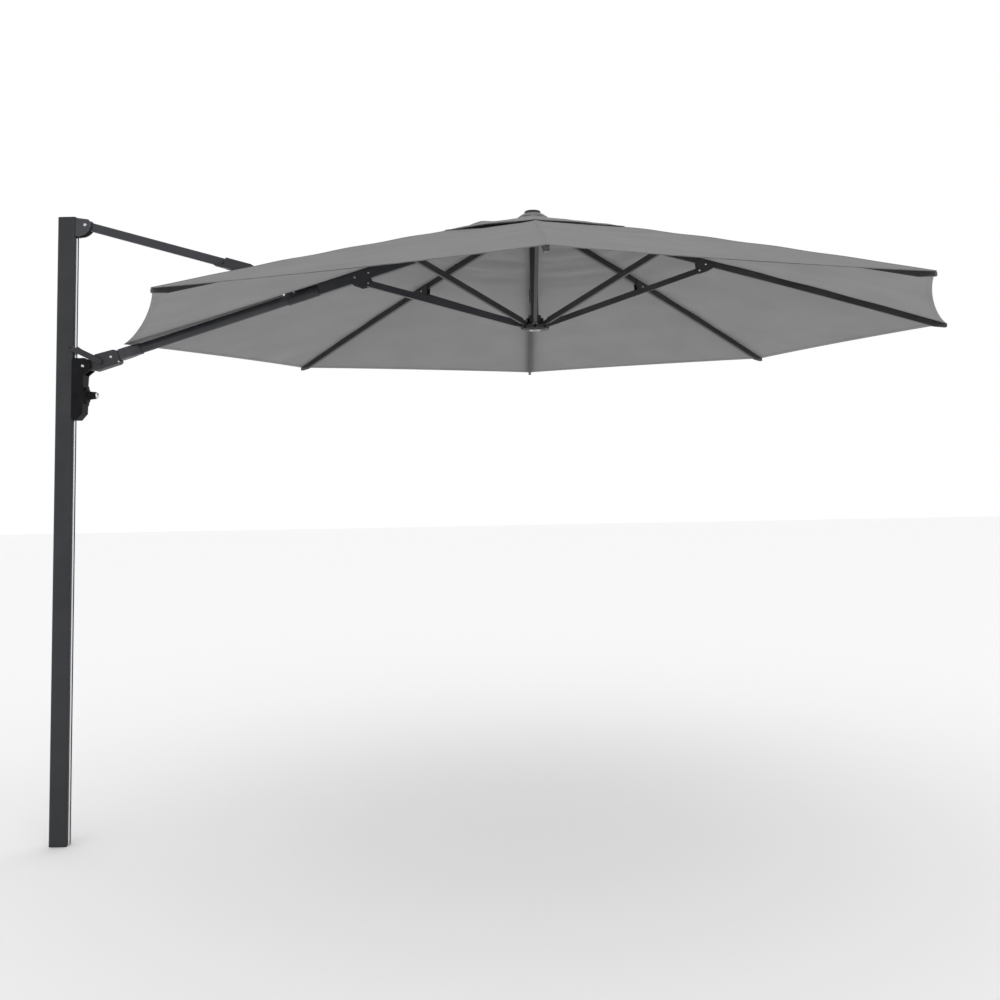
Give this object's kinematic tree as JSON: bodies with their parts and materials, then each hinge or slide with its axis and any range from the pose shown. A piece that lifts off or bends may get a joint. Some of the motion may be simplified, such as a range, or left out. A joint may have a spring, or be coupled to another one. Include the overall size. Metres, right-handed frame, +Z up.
{
  "type": "cantilever parasol",
  "caption": "Side-post parasol: a canopy hung from an arm that slides on a rail up the post, with a pivoted upper strut, hinged ribs and a clamp knob. It folds flat against the post.",
  "frame": {"origin": "middle of the post's bottom end", "axes": "+Z up the post, +X from the post towards the canopy's hub, +Y across"},
  "size_m": [3.581, 3.3, 2.485],
  "materials": {
    "post_paint": "satin powder coat, anthracite",
    "rail": "bare extruded",
    "black_plastic": "fine moulded grain",
    "grey_plastic": "fine moulded grain",
    "casting_paint": "satin powder coat on a casting",
    "strut_casting": "satin powder coat on a casting",
    "arm_paint": "satin powder coat, anthracite",
    "rib_paint": "satin powder coat, anthracite",
    "steel": "bright",
    "bright_cap": "polished",
    "white_plastic": "low-friction",
    "pad": "matt",
    "cloth": "woven polyester, mid grey"
  },
  "bodies": {
    "post": {"post_tube": "post_paint", "guide_rail": "rail", "post_top_cap": "black_plastic", "post_foot_plug": "black_plastic", "top_bracket": "casting_paint", "top_bracket_screws": "steel", "top_pivot_bolt": "steel"},
    "upper_strut": {"upper_strut_tube": "arm_paint", "upper_strut_eye": "casting_paint", "upper_strut_fitting": "strut_casting", "upper_strut_screws": "steel"},
    "lower_arm": {"arm_end_casting": "casting_paint", "arm_end_bolts": "steel", "arm_neck": "arm_paint", "arm_collar": "grey_plastic", "arm_lower_tube": "arm_paint", "arm_sleeve": "casting_paint", "arm_sleeve_bolts": "steel", "elbow_pin": "steel"},
    "carriage": {"carriage_body": "black_plastic", "carriage_pivot_bolt": "steel", "carriage_glides": "white_plastic", "brake_pad": "pad"},
    "knob": {"knob_spindle": "steel", "knob_grip": "black_plastic", "knob_cap": "bright_cap"},
    "guide_link": {"guide_link": "casting_paint", "guide_link_pins": "steel", "guide_rollers": "black_plastic"},
    "upper_arm": {"arm_upper_tube": "arm_paint", "tilt_spigot": "casting_paint", "arm_crown_eye": "casting_paint", "arm_bracket": "casting_paint", "arm_bracket_bolts": "steel"},
    "arm_strut": {"arm_strut": "arm_paint"},
    "crown": {"crown": "casting_paint", "crown_pins": "steel", "finial": "black_plastic", "canopy": "cloth", "vent_flap": "cloth"},
    "rib_1": {"rib_1": "rib_paint"},
    "rib_strut_1": {"rib_strut_1": "rib_paint"},
    "rib_2": {"rib_2": "rib_paint"},
    "rib_strut_2": {"rib_strut_2": "rib_paint"},
    "rib_3": {"rib_3": "rib_paint"},
    "rib_strut_3": {"rib_strut_3": "rib_paint"},
    "rib_4": {"rib_4": "rib_paint"},
    "rib_strut_4": {"rib_strut_4": "rib_paint"},
    "rib_5": {"rib_5": "rib_paint"},
    "rib_strut_5": {"rib_strut_5": "rib_paint"},
    "rib_6": {"rib_6": "rib_paint"},
    "rib_strut_6": {"rib_strut_6": "rib_paint"},
    "rib_7": {"rib_7": "rib_paint"},
    "rib_strut_7": {"rib_strut_7": "rib_paint"},
    "runner": {"runner": "casting_paint", "runner_pins": "steel", "runner_ring": "bright_cap", "centre_pole": "arm_paint", "pole_head": "black_plastic"}
  },
  "joints": [
    {"name": "fold", "type": "hinge", "parent": "post", "child": "upper_strut", "pos_m": [0.076, 0, 2.45], "axis": [0, 1, 0], "range_deg": [0, 66], "deforming": ["canopy", "vent_flap"]},
    {"name": "elbow", "type": "hinge", "parent": "upper_strut", "child": "lower_arm", "pos_m": [0.9, 0, 2.1615], "axis": [0, 1, 0], "range_deg": [-134, 2]},
    {"name": "carriage_hinge", "type": "hinge", "parent": "lower_arm", "child": "carriage", "pos_m": [0.076, 0, 1.873], "axis": [0, 1, 0], "range_deg": [-2, 68]},
    {"name": "guide_hinge", "type": "hinge", "parent": "lower_arm", "child": "guide_link", "pos_m": [0.14436, 0, 1.88888], "axis": [0, 1, 0], "range_deg": [-2, 103.98]},
    {"name": "knob_turn", "type": "hinge", "parent": "carriage", "child": "knob", "pos_m": [0.096, 0, 1.755], "axis": [1, 0, 0], "range_deg": [0, 90]},
    {"name": "side_tilt", "type": "hinge", "parent": "lower_arm", "child": "upper_arm", "pos_m": [0.076, 0, 1.873], "axis": [0.9555, 0, 0.2951], "range_deg": [-15, 15]},
    {"name": "crown_hinge", "type": "hinge", "parent": "upper_arm", "child": "crown", "pos_m": [1.85, 0, 2.421], "axis": [0, 1, 0], "range_deg": [-2, 68]},
    {"name": "arm_strut_hinge", "type": "hinge", "parent": "upper_arm", "child": "arm_strut", "pos_m": [1.225, 0, 2.187], "axis": [0, 1, 0], "range_deg": [-2, 139.62]},
    {"name": "rib_1_hinge", "type": "hinge", "parent": "crown", "child": "rib_1", "pos_m": [1.94, 0, 2.421], "axis": [0, 1, 0], "range_deg": [-2, 72]},
    {"name": "rib_strut_1_hinge", "type": "hinge", "parent": "rib_1", "child": "rib_strut_1", "pos_m": [2.563, 0, 2.2125], "axis": [0, 1, 0], "range_deg": [-142, 4]},
    {"name": "rib_2_hinge", "type": "hinge", "parent": "crown", "child": "rib_2", "pos_m": [1.92682, 0.03182, 2.421], "axis": [-0.7071, 0.7071, 0], "range_deg": [-2, 72]},
    {"name": "rib_strut_2_hinge", "type": "hinge", "parent": "rib_2", "child": "rib_strut_2", "pos_m": [2.36735, 0.47235, 2.2125], "axis": [-0.7071, 0.7071, 0], "range_deg": [-142, 4]},
    {"name": "rib_3_hinge", "type": "hinge", "parent": "crown", "child": "rib_3", "pos_m": [1.895, 0.045, 2.421], "axis": [-1, 0, 0], "range_deg": [-2, 72]},
    {"name": "rib_strut_3_hinge", "type": "hinge", "parent": "rib_3", "child": "rib_strut_3", "pos_m": [1.895, 0.668, 2.2125], "axis": [-1, 0, 0], "range_deg": [-142, 4]},
    {"name": "rib_4_hinge", "type": "hinge", "parent": "crown", "child": "rib_4", "pos_m": [1.86318, 0.03182, 2.421], "axis": [-0.7071, -0.7071, 0], "range_deg": [-2, 72]},
    {"name": "rib_strut_4_hinge", "type": "hinge", "parent": "rib_4", "child": "rib_strut_4", "pos_m": [1.42265, 0.47235, 2.2125], "axis": [-0.7071, -0.7071, 0], "range_deg": [-142, 4]},
    {"name": "rib_5_hinge", "type": "hinge", "parent": "crown", "child": "rib_5", "pos_m": [1.86318, -0.03182, 2.421], "axis": [0.7071, -0.7071, 0], "range_deg": [-2, 72]},
    {"name": "rib_strut_5_hinge", "type": "hinge", "parent": "rib_5", "child": "rib_strut_5", "pos_m": [1.42265, -0.47235, 2.2125], "axis": [0.7071, -0.7071, 0], "range_deg": [-142, 4]},
    {"name": "rib_6_hinge", "type": "hinge", "parent": "crown", "child": "rib_6", "pos_m": [1.895, -0.045, 2.421], "axis": [1, 0, 0], "range_deg": [-2, 72]},
    {"name": "rib_strut_6_hinge", "type": "hinge", "parent": "rib_6", "child": "rib_strut_6", "pos_m": [1.895, -0.668, 2.2125], "axis": [1, 0, 0], "range_deg": [-142, 4]},
    {"name": "rib_7_hinge", "type": "hinge", "parent": "crown", "child": "rib_7", "pos_m": [1.92682, -0.03182, 2.421], "axis": [0.7071, 0.7071, 0], "range_deg": [-2, 72]},
    {"name": "rib_strut_7_hinge", "type": "hinge", "parent": "rib_7", "child": "rib_strut_7", "pos_m": [2.36735, -0.47235, 2.2125], "axis": [0.7071, 0.7071, 0], "range_deg": [-142, 4]},
    {"name": "runner_hinge", "type": "hinge", "parent": "rib_strut_1", "child": "runner", "pos_m": [1.94, 0, 2.004], "axis": [0, 1, 0], "range_deg": [-2, 72]}
  ],
  "couplings": [
    {"joint": "elbow", "follows": "fold", "ratio": -2},
    {"joint": "carriage_hinge", "follows": "fold", "ratio": 1},
    {"joint": "guide_hinge", "follows": "fold", "ratio": 1.528},
    {"joint": "crown_hinge", "follows": "fold", "ratio": 1},
    {"joint": "arm_strut_hinge", "follows": "fold", "ratio": 2.07},
    {"joint": "rib_1_hinge", "follows": "fold", "ratio": 1.05},
    {"joint": "rib_strut_1_hinge", "follows": "fold", "ratio": -2.1},
    {"joint": "rib_2_hinge", "follows": "fold", "ratio": 1.05},
    {"joint": "rib_strut_2_hinge", "follows": "fold", "ratio": -2.1},
    {"joint": "rib_3_hinge", "follows": "fold", "ratio": 1.05},
    {"joint": "rib_strut_3_hinge", "follows": "fold", "ratio": -2.1},
    {"joint": "rib_4_hinge", "follows": "fold", "ratio": 1.05},
    {"joint": "rib_strut_4_hinge", "follows": "fold", "ratio": -2.1},
    {"joint": "rib_5_hinge", "follows": "fold", "ratio": 1.05},
    {"joint": "rib_strut_5_hinge", "follows": "fold", "ratio": -2.1},
    {"joint": "rib_6_hinge", "follows": "fold", "ratio": 1.05},
    {"joint": "rib_strut_6_hinge", "follows": "fold", "ratio": -2.1},
    {"joint": "rib_7_hinge", "follows": "fold", "ratio": 1.05},
    {"joint": "rib_strut_7_hinge", "follows": "fold", "ratio": -2.1},
    {"joint": "runner_hinge", "follows": "fold", "ratio": 1.05}
  ]
}
